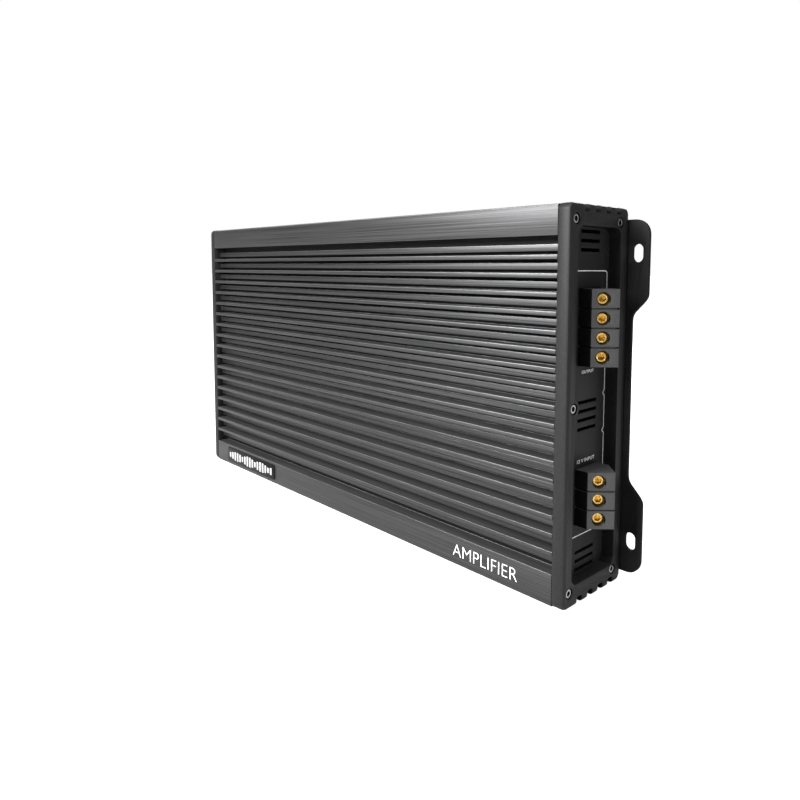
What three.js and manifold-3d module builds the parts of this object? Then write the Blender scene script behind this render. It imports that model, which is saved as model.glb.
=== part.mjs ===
// Car amplifier: a finned aluminium heatsink closed by two end caps and a steel base plate.
// It stands on a long edge. X runs along its length, -Y is the finned face, +Y the base plate
// and +Z is up. The origin is the middle of the footprint it stands on. Units are millimetres.
import * as THREE from 'three';
import { mergeVertices } from 'three/addons/utils/BufferGeometryUtils.js';
import Module from 'manifold-3d';

const wasm = await Module();
wasm.setup();

// Driving dimensions
const LENGTH = 369;
const DEPTH = 53.7;
const HEIGHT = 200;
const GAP = 0.3;
const FRONT = -27.5;
const HALF = LENGTH / 2;

// Heatsink extrusion, measured back from the finned face and up from the lower edge
const SINK_INSET = 0.4;
const RIB_COUNT = 17;
const RIB_PITCH = 9.17;
const FIRST_RIB = 27.5;
const RIB_WIDTH = 2.1;
const LAND_WIDTH = 3.3;
const LAND_DEPTH = 4.8;
const FIN_DEPTH = 9;
const LOWER_BAND = 17;
const UPPER_BAND = 184.5;
const EDGE_RADIUS = 1.2;
const WALL_FRONT = 12.6;
const WALL_SIDE = 9.1;
const LIP_FRONT = 47.6;
const LIP_HEIGHT = 16.5;
const GROOVE_CENTRES = [14.4, 24.05, 33.7, 43.35];
const GROOVE_WIDTH = 4.7;
const GROOVE_DEPTH = 3.5;
const GROOVE_CORNER = 0.8;
const SCREW_BRIDGE = { length: 6, below: 3, above: 3.4 };
const CARD_RAIL = { front: 40.6, back: 46.2, lip: 1.7, height: 3.8, channel: 1 };
const BADGE = { x0: 25, x1: 101, z0: 3.2, z1: 15.2, proud: 0.8, sunk: 0.5, radius: 2 };

// End caps
const CAP_THICKNESS = 6.8;
const CAP_RADIUS = 3.5;
const CAP_EDGE = 1.6;
const RECESS = { y0: 7, y1: 46, z0: 10.6, z1: 189.4, radius: 5 };
const LEDGE_DEPTH = 4.8;
const POCKET_FRONT = 14;
const POCKET_DEPTH = 7;
const FLOOR_BACK = 8.6;
const TRAY_MARGIN = 1.1;
const CAP_SCREWS = [[5.5, 192.4], [45.6, 192.2], [6.3, 100.5], [5.5, 7.8], [45.6, 7.8]];
const VENT = { y0: 20, y1: 37, width: 1.8, pitch: 4.65 };
const VENT_GROUPS = [[187.3, 3], [100.4, 4], [21.9, 3]];

// Screws
const M3_SHANK = 1.5;
const M3_HOLE = 1.8;
const M3_HEAD = 2.4;
const M3_HEAD_HEIGHT = 3;
const M3_HEAD_SUNK = 0.4;
const COUNTERBORE = 2.9;
const CAP_SCREW_END = 13.5;
const TAP_RUNOUT = 1.5;
const HEX_SOCKET = { radius: 1.45, depth: 1.8 };

// Base plate with four slotted ears
const PLATE_THICKNESS = 1.8;
const PLATE_Z0 = 4.7;
const PLATE_Z1 = 194.3;
const PLATE_REACH = 2.7;
const EAR_REACH = 11.6;
const EAR_STRAIGHT = 41;
const EAR_SLOPE = 9.5;
const EAR_RADIUS = 8;
const EAR_BEND = 2.5;
const SLOT = { out: 5.3, fromEnd: 17.5, halfWidth: 3, halfLength: 4.8 };
const PLATE_SCREW_X = [-150, 0, 150];
const PLATE_SCREW_Z = [10.5, 189.5];
const PLATE_SCREW_LENGTH = 9;
const PLATE_SCREW = { shank: 1.3, head: 2.75, headDepth: 1.5, socket: 1, socketDepth: 1.1 };
const COUNTERSINK = { hole: 1.5, mouth: 3.6 };

// Terminal blocks, placed from the end cap's outer face and the finned face
const CELL = 9.7;
const BLOCK = { y0: 19.3, y1: 38.9, slantX: 0.3, noseX: 10.1, backX: -14 };
const CELL_GROOVE = 0.9;
const CELL_GROOVE_DEPTH = 1;
const TERMINAL_ROWS = [['speaker', 158.6, 4], ['power', 66.3, 3]];
const BORE_OFFSET = 5.9;
const WIRE_RADIUS = 3.2;
const WIRE_ENTRY = 3.6;
const WIRE_DEPTH = 12;
const SET_SCREW = { radius: 2.8, length: 6, sunk: 1.8, hole: 3.6, hex: 1.6, hexDepth: 1.4 };
const CONTACT = { s0: -5.2, s1: 4.7, t: 4.5, z: 4, screwHoleEnd: 3.1, legEnd: 21, legHalf: 0.8 };

// Control end
const CONTROL_Y = 28;
const RCA_Z = [174, 156];
const KNOB_Z = [136, 117, 98, 79];
const KNOB_NAMES = ['gain', 'low_pass', 'subsonic', 'bass_boost'];
const SWITCH_Z = 60;
const REMOTE_Z = 44;
const LED_Z = [29, 21];
const RCA = { barrel: 4.15, length: 2, socket: 1.6, half: 6 };
const KNOB = { radius: 5.6, tip: 5.1, front: 1.2, hole: 1.9, shaftEnd: 14, pointer: 0.5, bodyHalf: 5 };
const SWITCH = { halfTravel: 3.2, halfSlot: 1.7, halfY: 5.5, halfZ: 3, floor: 12 };
const SWITCH_TAB = { front: 4.2, back: 11.6 };
const REMOTE = { bush: 3.9, front: 4.5, half: 5 };
const LED = { lens: 1.5, flange: 1.9, front: 6.1 };
const BOARD_DEPTH = 15.9;
const BOARD_THICKNESS = 1.6;
const SHELF_Y = 42.6;

// Inside: boards, wound parts and capacitors stand on the main board, given by their X and Z
const MAIN_BOARD = { x0: -150, x1: 168 };
const CONTROL_BOARD = { y0: 14, z0: 14, z1: 186 };
const TRANSFORMER = { x: -70, z: 120, outer: 28, inner: 9, height: 25 };
const INDUCTOR = { x: 60, z: 95, outer: 19, inner: 7, height: 20 };
const CAPACITORS = { x: -10, z: [60, 34], radius: 11, height: 26 };
const CLAMP_BAR = { halfLength: 110, y0: 18, y1: 34, z0: 176, z1: 185 };

// ---------------------------------------------------------------- helpers

const amplifier = new THREE.Group();

function finish(color, roughness, metalness) {
  return new THREE.MeshStandardMaterial({ color, roughness, metalness });
}

const ANODISED = finish(0x3d3e40, 0.45, 0.85);
const CAP_PAINT = finish(0x48494b, 0.6, 0.3);
const BLACK_STEEL = finish(0x151516, 0.7, 0.3);
const NICKEL = finish(0xb8b9bc, 0.3, 1);
const GOLD = finish(0xd8a640, 0.3, 1);
const BLOCK_PLASTIC = finish(0x2c2d2f, 0.7, 0);
const BLACK_PLASTIC = finish(0x131314, 0.5, 0);
const BOARD_GREEN = finish(0x1e4a2c, 0.6, 0);
const FERRITE = finish(0x7a4a22, 0.5, 0.4);

function solid(geometry) {
  const bare = geometry.clone();
  bare.deleteAttribute('normal');
  bare.deleteAttribute('uv');
  const merged = mergeVertices(bare, 1e-4);
  const mesh = new wasm.Mesh({
    numProp: 3,
    vertProperties: new Float32Array(merged.attributes.position.array),
    triVerts: new Uint32Array(merged.index.array),
  });
  return new wasm.Manifold(mesh);
}

function surface(manifold) {
  const mesh = manifold.getMesh();
  const geometry = new THREE.BufferGeometry();
  geometry.setAttribute('position', new THREE.BufferAttribute(mesh.vertProperties, 3));
  geometry.setIndex(new THREE.BufferAttribute(mesh.triVerts, 1));
  geometry.computeVertexNormals();
  return geometry;
}

function piece(name, manifold, material) {
  const mesh = new THREE.Mesh(surface(manifold), material);
  mesh.name = name;
  amplifier.add(mesh);
}

function joined(first, ...others) {
  return others.reduce((whole, part) => whole.add(part), first);
}

function cutBy(body, tools) {
  return tools.reduce((left, tool) => left.subtract(tool), body);
}

function block(x0, x1, y0, y1, z0, z1) {
  const geometry = new THREE.BoxGeometry(x1 - x0, y1 - y0, z1 - z0);
  geometry.translate((x0 + x1) / 2, (y0 + y1) / 2, (z0 + z1) / 2);
  return solid(geometry);
}

// A round bar between two points, which may taper towards the second one
function rod(from, to, radius, sides = 12, endRadius = radius) {
  const start = new THREE.Vector3(...from);
  const run = new THREE.Vector3(...to).sub(start);
  const geometry = new THREE.CylinderGeometry(endRadius, radius, run.length(), sides);
  const along = run.clone().normalize();
  const turn = new THREE.Quaternion().setFromUnitVectors(new THREE.Vector3(0, 1, 0), along);
  geometry.applyQuaternion(turn);
  const middle = start.addScaledVector(run, 0.5);
  geometry.translate(middle.x, middle.y, middle.z);
  return solid(geometry);
}

// Extrudes an outline drawn in Y and Z along X, from x0 to x1
function alongX(shape, x0, x1, options = {}) {
  const settings = { depth: x1 - x0, bevelEnabled: false, curveSegments: 4, ...options };
  const geometry = new THREE.ExtrudeGeometry(shape, settings);
  const frame = new THREE.Matrix4().makeBasis(
    new THREE.Vector3(0, 1, 0), new THREE.Vector3(0, 0, 1), new THREE.Vector3(1, 0, 0));
  geometry.applyMatrix4(frame.setPosition(x0, 0, 0));
  return solid(geometry);
}

// Extrudes an outline drawn in X and Z along Y, from y0 to y1
function alongY(shape, y0, y1) {
  const settings = { depth: y1 - y0, bevelEnabled: false, curveSegments: 4 };
  const geometry = new THREE.ExtrudeGeometry(shape, settings);
  const frame = new THREE.Matrix4().makeBasis(
    new THREE.Vector3(1, 0, 0), new THREE.Vector3(0, 0, 1), new THREE.Vector3(0, -1, 0));
  geometry.applyMatrix4(frame.setPosition(0, y1, 0));
  return solid(geometry);
}

// Extrudes an outline drawn in X and Y along Z, from z0 to z1
function alongZ(shape, z0, z1) {
  const geometry = new THREE.ExtrudeGeometry(shape, { depth: z1 - z0, bevelEnabled: false });
  geometry.translate(0, 0, z0);
  return solid(geometry);
}

function roundedRectangle(a0, a1, b0, b1, radius) {
  const shape = new THREE.Shape();
  shape.moveTo(a0 + radius, b0);
  shape.lineTo(a1 - radius, b0);
  shape.absarc(a1 - radius, b0 + radius, radius, -Math.PI / 2, 0);
  shape.lineTo(a1, b1 - radius);
  shape.absarc(a1 - radius, b1 - radius, radius, 0, Math.PI / 2);
  shape.lineTo(a0 + radius, b1);
  shape.absarc(a0 + radius, b1 - radius, radius, Math.PI / 2, Math.PI);
  shape.lineTo(a0, b0 + radius);
  shape.absarc(a0 + radius, b0 + radius, radius, Math.PI, 1.5 * Math.PI);
  return shape;
}

function polygon(points) {
  return new THREE.Shape(points.map(([a, b]) => new THREE.Vector2(a, b)));
}

// Turns a depth behind the outer face of the cap on one side (+1 or -1) into X
function inward(side, depth) {
  return side * (HALF - depth);
}

function between(side, nearDepth, farDepth) {
  const ends = [inward(side, nearDepth), inward(side, farDepth)];
  return ends.sort((a, b) => a - b);
}

function rodInward(side, nearDepth, farDepth, y, z, radius, sides = 12, endRadius = radius) {
  const start = [inward(side, nearDepth), FRONT + y, z];
  return rod(start, [inward(side, farDepth), FRONT + y, z], radius, sides, endRadius);
}

function blockInward(side, nearDepth, farDepth, y0, y1, z0, z1) {
  const [x0, x1] = between(side, nearDepth, farDepth);
  return block(x0, x1, FRONT + y0, FRONT + y1, z0, z1);
}

// ---------------------------------------------------------------- heatsink

// One long groove of the upper face (up = 1) or the lower face (up = -1), as outline points
function groovePoints(up, faceZ, centre) {
  const half = GROOVE_WIDTH / 2;
  const bottom = faceZ - up * GROOVE_DEPTH;
  const wallEnd = bottom + up * GROOVE_CORNER;
  return [
    [centre - up * half, faceZ], [centre - up * half, wallEnd],
    [centre - up * (half - GROOVE_CORNER), bottom], [centre + up * (half - GROOVE_CORNER), bottom],
    [centre + up * half, wallEnd], [centre + up * half, faceZ],
  ];
}

function grooveRun(up, faceZ) {
  const centres = up > 0 ? GROOVE_CENTRES : GROOVE_CENTRES.toReversed();
  return centres.flatMap((centre) => groovePoints(up, faceZ, centre));
}

function finPoints() {
  const points = [[0, LOWER_BAND], [FIN_DEPTH, LOWER_BAND]];
  for (let i = 0; i <= RIB_COUNT; i += 1) {
    const land = FIRST_RIB + (i - 0.5) * RIB_PITCH;
    points.push([FIN_DEPTH, land - LAND_WIDTH / 2], [LAND_DEPTH, land - LAND_WIDTH / 2]);
    points.push([LAND_DEPTH, land + LAND_WIDTH / 2], [FIN_DEPTH, land + LAND_WIDTH / 2]);
    if (i < RIB_COUNT) {
      const rib = FIRST_RIB + i * RIB_PITCH;
      points.push([FIN_DEPTH, rib - RIB_WIDTH / 2], [0, rib - RIB_WIDTH / 2]);
      points.push([0, rib + RIB_WIDTH / 2], [FIN_DEPTH, rib + RIB_WIDTH / 2]);
    }
  }
  points.push([FIN_DEPTH, UPPER_BAND], [0, UPPER_BAND]);
  return points;
}

// Half of the inside, from the front wall to the rear edge: card rails, a corner and a rear lip
function insidePoints() {
  const { front, back, lip } = CARD_RAIL;
  const rail = WALL_SIDE + CARD_RAIL.height;
  const channel = WALL_SIDE + CARD_RAIL.channel;
  return [
    [WALL_FRONT, WALL_SIDE], [front, WALL_SIDE], [front, rail], [front + lip, rail], [front + lip, channel],
    [back - lip, channel], [back - lip, rail], [back, rail], [LIP_FRONT, rail + lip], [LIP_FRONT, LIP_HEIGHT],
    [DEPTH, LIP_HEIGHT],
  ];
}

// Outline of the badge, or of the seat it is let into when it is grown by a margin
function badgeOutline(margin) {
  const { x0, x1, z0, z1, radius } = BADGE;
  return roundedRectangle(
    x0 - HALF - margin, x1 - HALF + margin, z0 - margin, z1 + margin, radius + margin);
}

function sinkOutline() {
  const low = SINK_INSET;
  const high = HEIGHT - SINK_INSET;
  const inside = insidePoints();
  const insideTop = inside.map(([y, z]) => [y, HEIGHT - z]).reverse();
  const points = [
    [0, low + EDGE_RADIUS],
    ...finPoints(),
    [0, high - EDGE_RADIUS], [EDGE_RADIUS * 0.3, high - EDGE_RADIUS * 0.3], [EDGE_RADIUS, high],
    ...grooveRun(1, high),
    [DEPTH, high],
    ...insideTop,
    ...inside,
    [DEPTH, low],
    ...grooveRun(-1, low),
    [EDGE_RADIUS, low], [EDGE_RADIUS * 0.3, low + EDGE_RADIUS * 0.3],
  ];
  return polygon(points.map(([y, z]) => [FRONT + y, z]).reverse());
}

// The middle cap screw of each end bites in a short bridge left between two lands
function heatsink() {
  const start = CAP_THICKNESS + GAP;
  let body = alongX(sinkOutline(), inward(-1, start), inward(1, start));
  const midZ = CAP_SCREWS[2][1];
  for (const side of [-1, 1]) {
    const { length, below, above } = SCREW_BRIDGE;
    body = body.add(blockInward(
      side, start, start + length, LAND_DEPTH, FIN_DEPTH + 1, midZ - below, midZ + above));
    body = body.subtract(blockInward(
      side, start - 1, FLOOR_BACK + GAP, WALL_FRONT, LIP_FRONT, WALL_SIDE, HEIGHT - WALL_SIDE));
    const holes = CAP_SCREWS.map(
      ([y, z]) => rodInward(side, start - 1, CAP_SCREW_END + TAP_RUNOUT, y, z, M3_HOLE, 8));
    body = cutBy(body, holes);
  }
  const screwHoles = PLATE_SCREW_X.flatMap((x) => PLATE_SCREW_Z.map(
    (z) => rod([x, FRONT + DEPTH + 1, z], [x, FRONT + DEPTH - PLATE_SCREW_LENGTH, z], M3_HOLE, 8)));
  const badgeSeat = alongY(badgeOutline(GAP), FRONT - 1, FRONT + BADGE.sunk + GAP);
  piece('heatsink', cutBy(body, [...screwHoles, badgeSeat]), ANODISED);
}

function badge() {
  piece('badge', alongY(badgeOutline(0), FRONT - BADGE.proud, FRONT + BADGE.sunk), BLACK_PLASTIC);
}

// ---------------------------------------------------------------- end caps

// A cap before its own openings are cut: a rounded tray with long-groove notches and screw seats
function capBody(side) {
  const outline = roundedRectangle(FRONT, FRONT + DEPTH, 0, HEIGHT, CAP_RADIUS);
  const [x0, x1] = between(side, 0, 2 * CAP_THICKNESS);
  const rounded = alongX(outline, x0 + CAP_EDGE, x1 - CAP_EDGE, {
    bevelEnabled: true, bevelThickness: CAP_EDGE, bevelSize: CAP_EDGE, bevelOffset: -CAP_EDGE,
    bevelSegments: 2,
  });
  let body = rounded.intersect(blockInward(side, -1, CAP_THICKNESS, -1, DEPTH + 1, -1, HEIGHT + 1));
  const { y0, y1, z0, z1, radius } = RECESS;
  const tray = roundedRectangle(
    FRONT + POCKET_FRONT - TRAY_MARGIN, FRONT + y1 + TRAY_MARGIN, z0 - TRAY_MARGIN, z1 + TRAY_MARGIN,
    radius + TRAY_MARGIN);
  body = body.add(alongX(tray, ...between(side, CAP_THICKNESS - 1, FLOOR_BACK)));
  const ledge = roundedRectangle(FRONT + y0, FRONT + y1, z0, z1, radius);
  const pocket = roundedRectangle(FRONT + POCKET_FRONT, FRONT + y1, z0, z1, radius);
  body = body.subtract(alongX(ledge, ...between(side, -1, LEDGE_DEPTH)));
  body = body.subtract(alongX(pocket, ...between(side, -1, POCKET_DEPTH)));
  const [midY, midZ] = CAP_SCREWS[2];
  body = body.add(rodInward(side, 0, CAP_THICKNESS, midY, midZ, COUNTERBORE + 1.3, 16));
  const notches = GROOVE_CENTRES.flatMap((centre) => [1, -1].map((up) => {
    const face = up > 0 ? HEIGHT - SINK_INSET : SINK_INSET;
    const groove = groovePoints(up, face, centre);
    const open = [[groove[5][0], face + up * 2], [groove[0][0], face + up * 2]];
    const outline = [...groove, ...open].map(([y, z]) => [FRONT + y, z]).reverse();
    return alongX(polygon(outline), ...between(side, -1, CAP_THICKNESS + 1));
  }));
  const seat = M3_HEAD_SUNK + M3_HEAD_HEIGHT + GAP;
  const seats = CAP_SCREWS.flatMap(([y, z]) => [
    rodInward(side, -1, seat, y, z, COUNTERBORE, 16),
    rodInward(side, -1, FLOOR_BACK + 1, y, z, M3_HOLE, 8),
  ]);
  return cutBy(body, [...notches, ...seats]);
}

function vents(side, firstZ, count) {
  return Array.from({ length: count }, (_, i) => {
    const z = firstZ - i * VENT.pitch;
    const half = VENT.width / 2;
    return blockInward(side, LEDGE_DEPTH, FLOOR_BACK + 1, VENT.y0, VENT.y1, z - half, z + half);
  });
}

function terminalCap() {
  const windows = TERMINAL_ROWS.map(([, top, cells]) => blockInward(
    1, LEDGE_DEPTH, FLOOR_BACK + 1, BLOCK.y0 - GAP, BLOCK.y1 + GAP, top - cells * CELL - GAP, top + GAP));
  const slots = VENT_GROUPS.flatMap(([firstZ, count]) => vents(1, firstZ, count));
  piece('terminal_end_cap', cutBy(capBody(1), [...windows, ...slots]), CAP_PAINT);
}

function controlCap() {
  const through = [LEDGE_DEPTH, FLOOR_BACK + 1];
  const round = (z, radius) => rodInward(-1, ...through, CONTROL_Y, z, radius);
  const { halfTravel, halfSlot } = SWITCH;
  const openings = [
    ...RCA_Z.map((z) => round(z, RCA.barrel + 0.45)),
    ...KNOB_Z.map((z) => round(z, KNOB.hole)),
    blockInward(-1, ...through, CONTROL_Y - halfTravel, CONTROL_Y + halfTravel, SWITCH_Z - halfSlot,
      SWITCH_Z + halfSlot),
    round(REMOTE_Z, REMOTE.bush + 0.4),
    ...LED_Z.map((z) => round(z, LED.lens + GAP)),
  ];
  piece('control_end_cap', cutBy(capBody(-1), openings), CAP_PAINT);
}

// A socket-head screw lying along X, its head let into the cap
function capScrew(name, side, y, z) {
  const top = M3_HEAD_SUNK;
  const under = top + M3_HEAD_HEIGHT;
  const head = rodInward(side, top, under, y, z, M3_HEAD, 14);
  const shank = rodInward(side, under - 0.5, CAP_SCREW_END, y, z, M3_SHANK, 8);
  const socket = rodInward(side, top - 1, top + HEX_SOCKET.depth, y, z, HEX_SOCKET.radius, 6);
  piece(name, head.add(shank).subtract(socket), NICKEL);
}

function capScrews() {
  CAP_SCREWS.forEach(([y, z], i) => {
    capScrew(`terminal_cap_screw_${i + 1}`, 1, y, z);
    capScrew(`control_cap_screw_${i + 1}`, -1, y, z);
  });
}

// ---------------------------------------------------------------- base plate

// The round outer corner of an ear, on one side (+1 or -1) and at the top (+1) or foot (-1)
function earCorner(shape, side, up) {
  const x = side * (HALF + EAR_REACH - EAR_RADIUS);
  const z = up > 0 ? PLATE_Z1 - EAR_RADIUS : PLATE_Z0 + EAR_RADIUS;
  const middle = Math.atan2(up, side);
  shape.absarc(x, z, EAR_RADIUS, middle - Math.PI / 4, middle + Math.PI / 4);
}

// One end of the plate's outline, from one ear to the other
function plateEnd(shape, side) {
  const edge = side * (HALF + PLATE_REACH);
  const tip = side * (HALF + EAR_REACH);
  const bend = side * EAR_BEND;
  const low = [PLATE_Z0, PLATE_Z0 + EAR_STRAIGHT, PLATE_Z0 + EAR_STRAIGHT + EAR_SLOPE];
  const high = [PLATE_Z1, PLATE_Z1 - EAR_STRAIGHT, PLATE_Z1 - EAR_STRAIGHT - EAR_SLOPE];
  const [first, second] = side > 0 ? [low, high] : [high, low];
  const turn = side > 0 ? 1 : -1;
  earCorner(shape, side, -turn);
  shape.lineTo(tip, first[1] - turn * EAR_BEND);
  shape.quadraticCurveTo(tip, first[1], tip - bend, first[1] + turn * EAR_BEND);
  shape.lineTo(edge + bend * 0.65, first[2] - turn * EAR_BEND * 0.8);
  shape.quadraticCurveTo(edge, first[2], edge, first[2] + turn * EAR_BEND * 1.2);
  shape.lineTo(edge, second[2] - turn * EAR_BEND * 1.2);
  shape.quadraticCurveTo(edge, second[2], edge + bend * 0.65, second[2] + turn * EAR_BEND * 0.8);
  shape.lineTo(tip - bend, second[1] - turn * EAR_BEND);
  shape.quadraticCurveTo(tip, second[1], tip, second[1] + turn * EAR_BEND);
  earCorner(shape, side, turn);
}

function basePlate() {
  const front = FRONT + DEPTH + GAP;
  const back = front + PLATE_THICKNESS;
  const outline = new THREE.Shape();
  outline.moveTo(0, PLATE_Z0);
  plateEnd(outline, 1);
  plateEnd(outline, -1);
  const { halfWidth, halfLength } = SLOT;
  const slots = [-1, 1].flatMap((side) => [PLATE_Z0 + SLOT.fromEnd, PLATE_Z1 - SLOT.fromEnd].map((z) => {
    const x = side * (HALF + SLOT.out);
    return alongY(roundedRectangle(
      x - halfWidth, x + halfWidth, z - halfLength, z + halfLength, halfWidth - 0.01), front - 1, back + 1);
  }));
  const screwHoles = PLATE_SCREW_X.flatMap((x) => PLATE_SCREW_Z.map(
    (z) => rod([x, front - 0.5, z], [x, back + 0.3, z], COUNTERSINK.hole, 12, COUNTERSINK.mouth)));
  piece('base_plate', cutBy(alongY(outline, front, back), [...slots, ...screwHoles]), BLACK_STEEL);
}

// Countersunk screws that hold the plate to the heatsink's rear lips
function plateScrews() {
  const back = FRONT + DEPTH + GAP + PLATE_THICKNESS;
  let number = 0;
  for (const x of PLATE_SCREW_X) {
    for (const z of PLATE_SCREW_Z) {
      number += 1;
      const { shank, head, headDepth, socket, socketDepth } = PLATE_SCREW;
      const tip = back - PLATE_SCREW_LENGTH;
      const cone = rod([x, back - headDepth, z], [x, back, z], shank, 12, head);
      const pin = rod([x, tip, z], [x, back - 1, z], shank, 8);
      const recess = rod([x, back - socketDepth, z], [x, back + 1, z], socket, 6);
      piece(`base_plate_screw_${number}`, cone.add(pin).subtract(recess), BLACK_STEEL);
    }
  }
}

// ---------------------------------------------------------------- terminal blocks

// Point on a cell's plan from s (along the set screw, inwards) and t (along the wire, inwards)
const WIRE_AXIS_DEPTH = (BLOCK.y1 - BLOCK.y0 - BORE_OFFSET * Math.SQRT2) / Math.SQRT2;
const MEETING = {
  x: HALF + BLOCK.slantX + BORE_OFFSET * Math.SQRT1_2 - WIRE_AXIS_DEPTH * Math.SQRT1_2,
  y: FRONT + (BLOCK.y0 + BLOCK.y1) / 2,
};

function onCell(s, t, z) {
  const x = MEETING.x - (s + t) * Math.SQRT1_2;
  return [x, MEETING.y + (s - t) * Math.SQRT1_2, z];
}

// A block turned with the cell, from s0 to s1 and t0 to t1 and reaching half on each side of z
function cellBlock(s0, s1, t0, t1, z, half) {
  const corners = [onCell(s0, t0, 0), onCell(s0, t1, 0), onCell(s1, t1, 0), onCell(s1, t0, 0)];
  return alongZ(polygon(corners), z - half, z + half);
}

function housingOutline(inset) {
  const back = HALF + BLOCK.backX;
  const step = HALF - POCKET_DEPTH + 0.1;
  const tip = inset * Math.SQRT2;
  const low = FRONT + BLOCK.y0;
  const high = FRONT + BLOCK.y1;
  const slant = HALF + BLOCK.slantX - inset * (Math.SQRT2 - 1);
  const middle = (low + high) / 2;
  return polygon([
    [back, low], [step, low], [step, low + inset], [slant, low + inset], [HALF + BLOCK.noseX - tip, middle],
    [slant, high - inset], [step, high - inset], [step, high], [back, high],
  ].filter((point, i) => inset > 0 || ![1, 2, 6, 7].includes(i)));
}

function terminalBlock(name, top, cells) {
  const bottom = top - cells * CELL;
  let body = alongZ(housingOutline(CELL_GROOVE_DEPTH), bottom, top);
  const tools = [];
  for (let i = 0; i < cells; i += 1) {
    const upper = top - i * CELL - (i > 0 ? CELL_GROOVE / 2 : 0);
    const lower = top - (i + 1) * CELL + (i < cells - 1 ? CELL_GROOVE / 2 : 0);
    body = body.add(alongZ(housingOutline(0), lower, upper));
    const z = top - (i + 0.5) * CELL;
    const face = -WIRE_AXIS_DEPTH;
    tools.push(rod(onCell(face - 1, 0, z), onCell(0, 0, z), SET_SCREW.hole));
    tools.push(cellBlock(-WIRE_ENTRY, WIRE_ENTRY, face - 1, -CONTACT.t, z, WIRE_ENTRY));
    tools.push(cellBlock(
      CONTACT.s0 - GAP, CONTACT.s1 + GAP, -CONTACT.t - GAP, CONTACT.t + GAP, z, CONTACT.z + GAP));
    const legWall = CONTACT.legHalf + GAP;
    tools.push(block(
      HALF + BLOCK.backX - 1, HALF - 6, MEETING.y - legWall, MEETING.y + legWall, z - 1.8, z + 1.8));
  }
  piece(name, cutBy(body, tools), BLOCK_PLASTIC);
}

// The brass clamp inside one cell, with its solder leg turned down to the main board
function contact(name, z) {
  const body = cellBlock(CONTACT.s0, CONTACT.s1, -CONTACT.t, CONTACT.t, z, CONTACT.z);
  const { legHalf } = CONTACT;
  const legEnd = HALF - CONTACT.legEnd;
  const front = MEETING.y - legHalf;
  const leg = block(legEnd, HALF - 6, front, MEETING.y + legHalf, z - 1.5, z + 1.5);
  const foot = block(legEnd, legEnd + 2 * legHalf, front, FRONT + SHELF_Y - GAP, z - 1.5, z + 1.5);
  const screwHole = rod(onCell(-9, 0, z), onCell(CONTACT.screwHoleEnd, 0, z), SET_SCREW.radius + GAP, 10);
  const wireHole = rod(onCell(0, -9, z), onCell(0, WIRE_DEPTH - WIRE_AXIS_DEPTH, z), WIRE_RADIUS, 10);
  piece(name, cutBy(joined(body, leg, foot), [screwHole, wireHole]), GOLD);
}

function setScrew(name, z) {
  const top = SET_SCREW.sunk - WIRE_AXIS_DEPTH;
  const { radius, length, hex, hexDepth } = SET_SCREW;
  const chamfer = 0.5;
  const shaft = rod(onCell(top + chamfer, 0, z), onCell(top + length, 0, z), radius, 14);
  const crown = rod(onCell(top + chamfer, 0, z), onCell(top, 0, z), radius, 14, radius - chamfer);
  const socket = rod(onCell(top - 1, 0, z), onCell(top + hexDepth, 0, z), hex, 6);
  piece(name, shaft.add(crown).subtract(socket), GOLD);
}

function terminals() {
  let number = 0;
  for (const [label, top, cells] of TERMINAL_ROWS) {
    terminalBlock(`${label}_terminal_block`, top, cells);
    for (let i = 0; i < cells; i += 1) {
      number += 1;
      const z = top - (i + 0.5) * CELL;
      contact(`terminal_contact_${number}`, z);
      setScrew(`terminal_screw_${number}`, z);
    }
  }
}

// ---------------------------------------------------------------- control end

// A body behind the cap floor, on the control board, reaching halfY and halfZ from its middle
function controlBody(z, halfY, halfZ) {
  const depths = [FLOOR_BACK + GAP, BOARD_DEPTH - GAP];
  return blockInward(-1, ...depths, CONTROL_Y - halfY, CONTROL_Y + halfY, z - halfZ, z + halfZ);
}

function rcaJack(name, z) {
  const barrel = rodInward(-1, -RCA.length, FLOOR_BACK + 2, CONTROL_Y, z, RCA.barrel, 16);
  const socket = rodInward(-1, -RCA.length - 1, FLOOR_BACK, CONTROL_Y, z, RCA.socket, 8);
  piece(name, controlBody(z, RCA.half, RCA.half).add(barrel).subtract(socket), GOLD);
}

// Knob with its own shaft, which turns in the potentiometer behind the cap floor
function levelKnob(name, z) {
  const { radius, tip, front, shaftEnd, pointer, bodyHalf } = KNOB;
  const grip = rodInward(-1, POCKET_DEPTH - 0.6, front, CONTROL_Y, z, radius, 16, tip);
  const shaft = rodInward(-1, POCKET_DEPTH - 1, shaftEnd, CONTROL_Y, z, M3_SHANK, 8);
  const groove = blockInward(
    -1, front - 1, front + 0.7, CONTROL_Y - pointer, CONTROL_Y + pointer, z + 0.8, z + radius + 1);
  piece(`${name}_knob`, grip.add(shaft).subtract(groove), BLACK_PLASTIC);
  const bore = rodInward(-1, FLOOR_BACK - 1, shaftEnd + 0.4, CONTROL_Y, z, M3_HOLE, 12);
  piece(`${name}_potentiometer`, controlBody(z, bodyHalf, bodyHalf).subtract(bore), BLACK_STEEL);
}

function phaseSwitch() {
  const z = SWITCH_Z;
  const { halfTravel, halfSlot, halfY, halfZ, floor } = SWITCH;
  const track = blockInward(
    -1, FLOOR_BACK - 1, floor, CONTROL_Y - halfTravel, CONTROL_Y + halfTravel, z - halfSlot, z + halfSlot);
  piece('phase_switch_housing', controlBody(z, halfY, halfZ).subtract(track), BLACK_STEEL);
  const tabHalf = halfSlot - GAP;
  const { front, back } = SWITCH_TAB;
  const tab = blockInward(
    -1, front, back, CONTROL_Y - halfTravel + GAP, CONTROL_Y - 0.1, z - tabHalf, z + tabHalf);
  piece('phase_switch_slider', tab, BLACK_PLASTIC);
}

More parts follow.
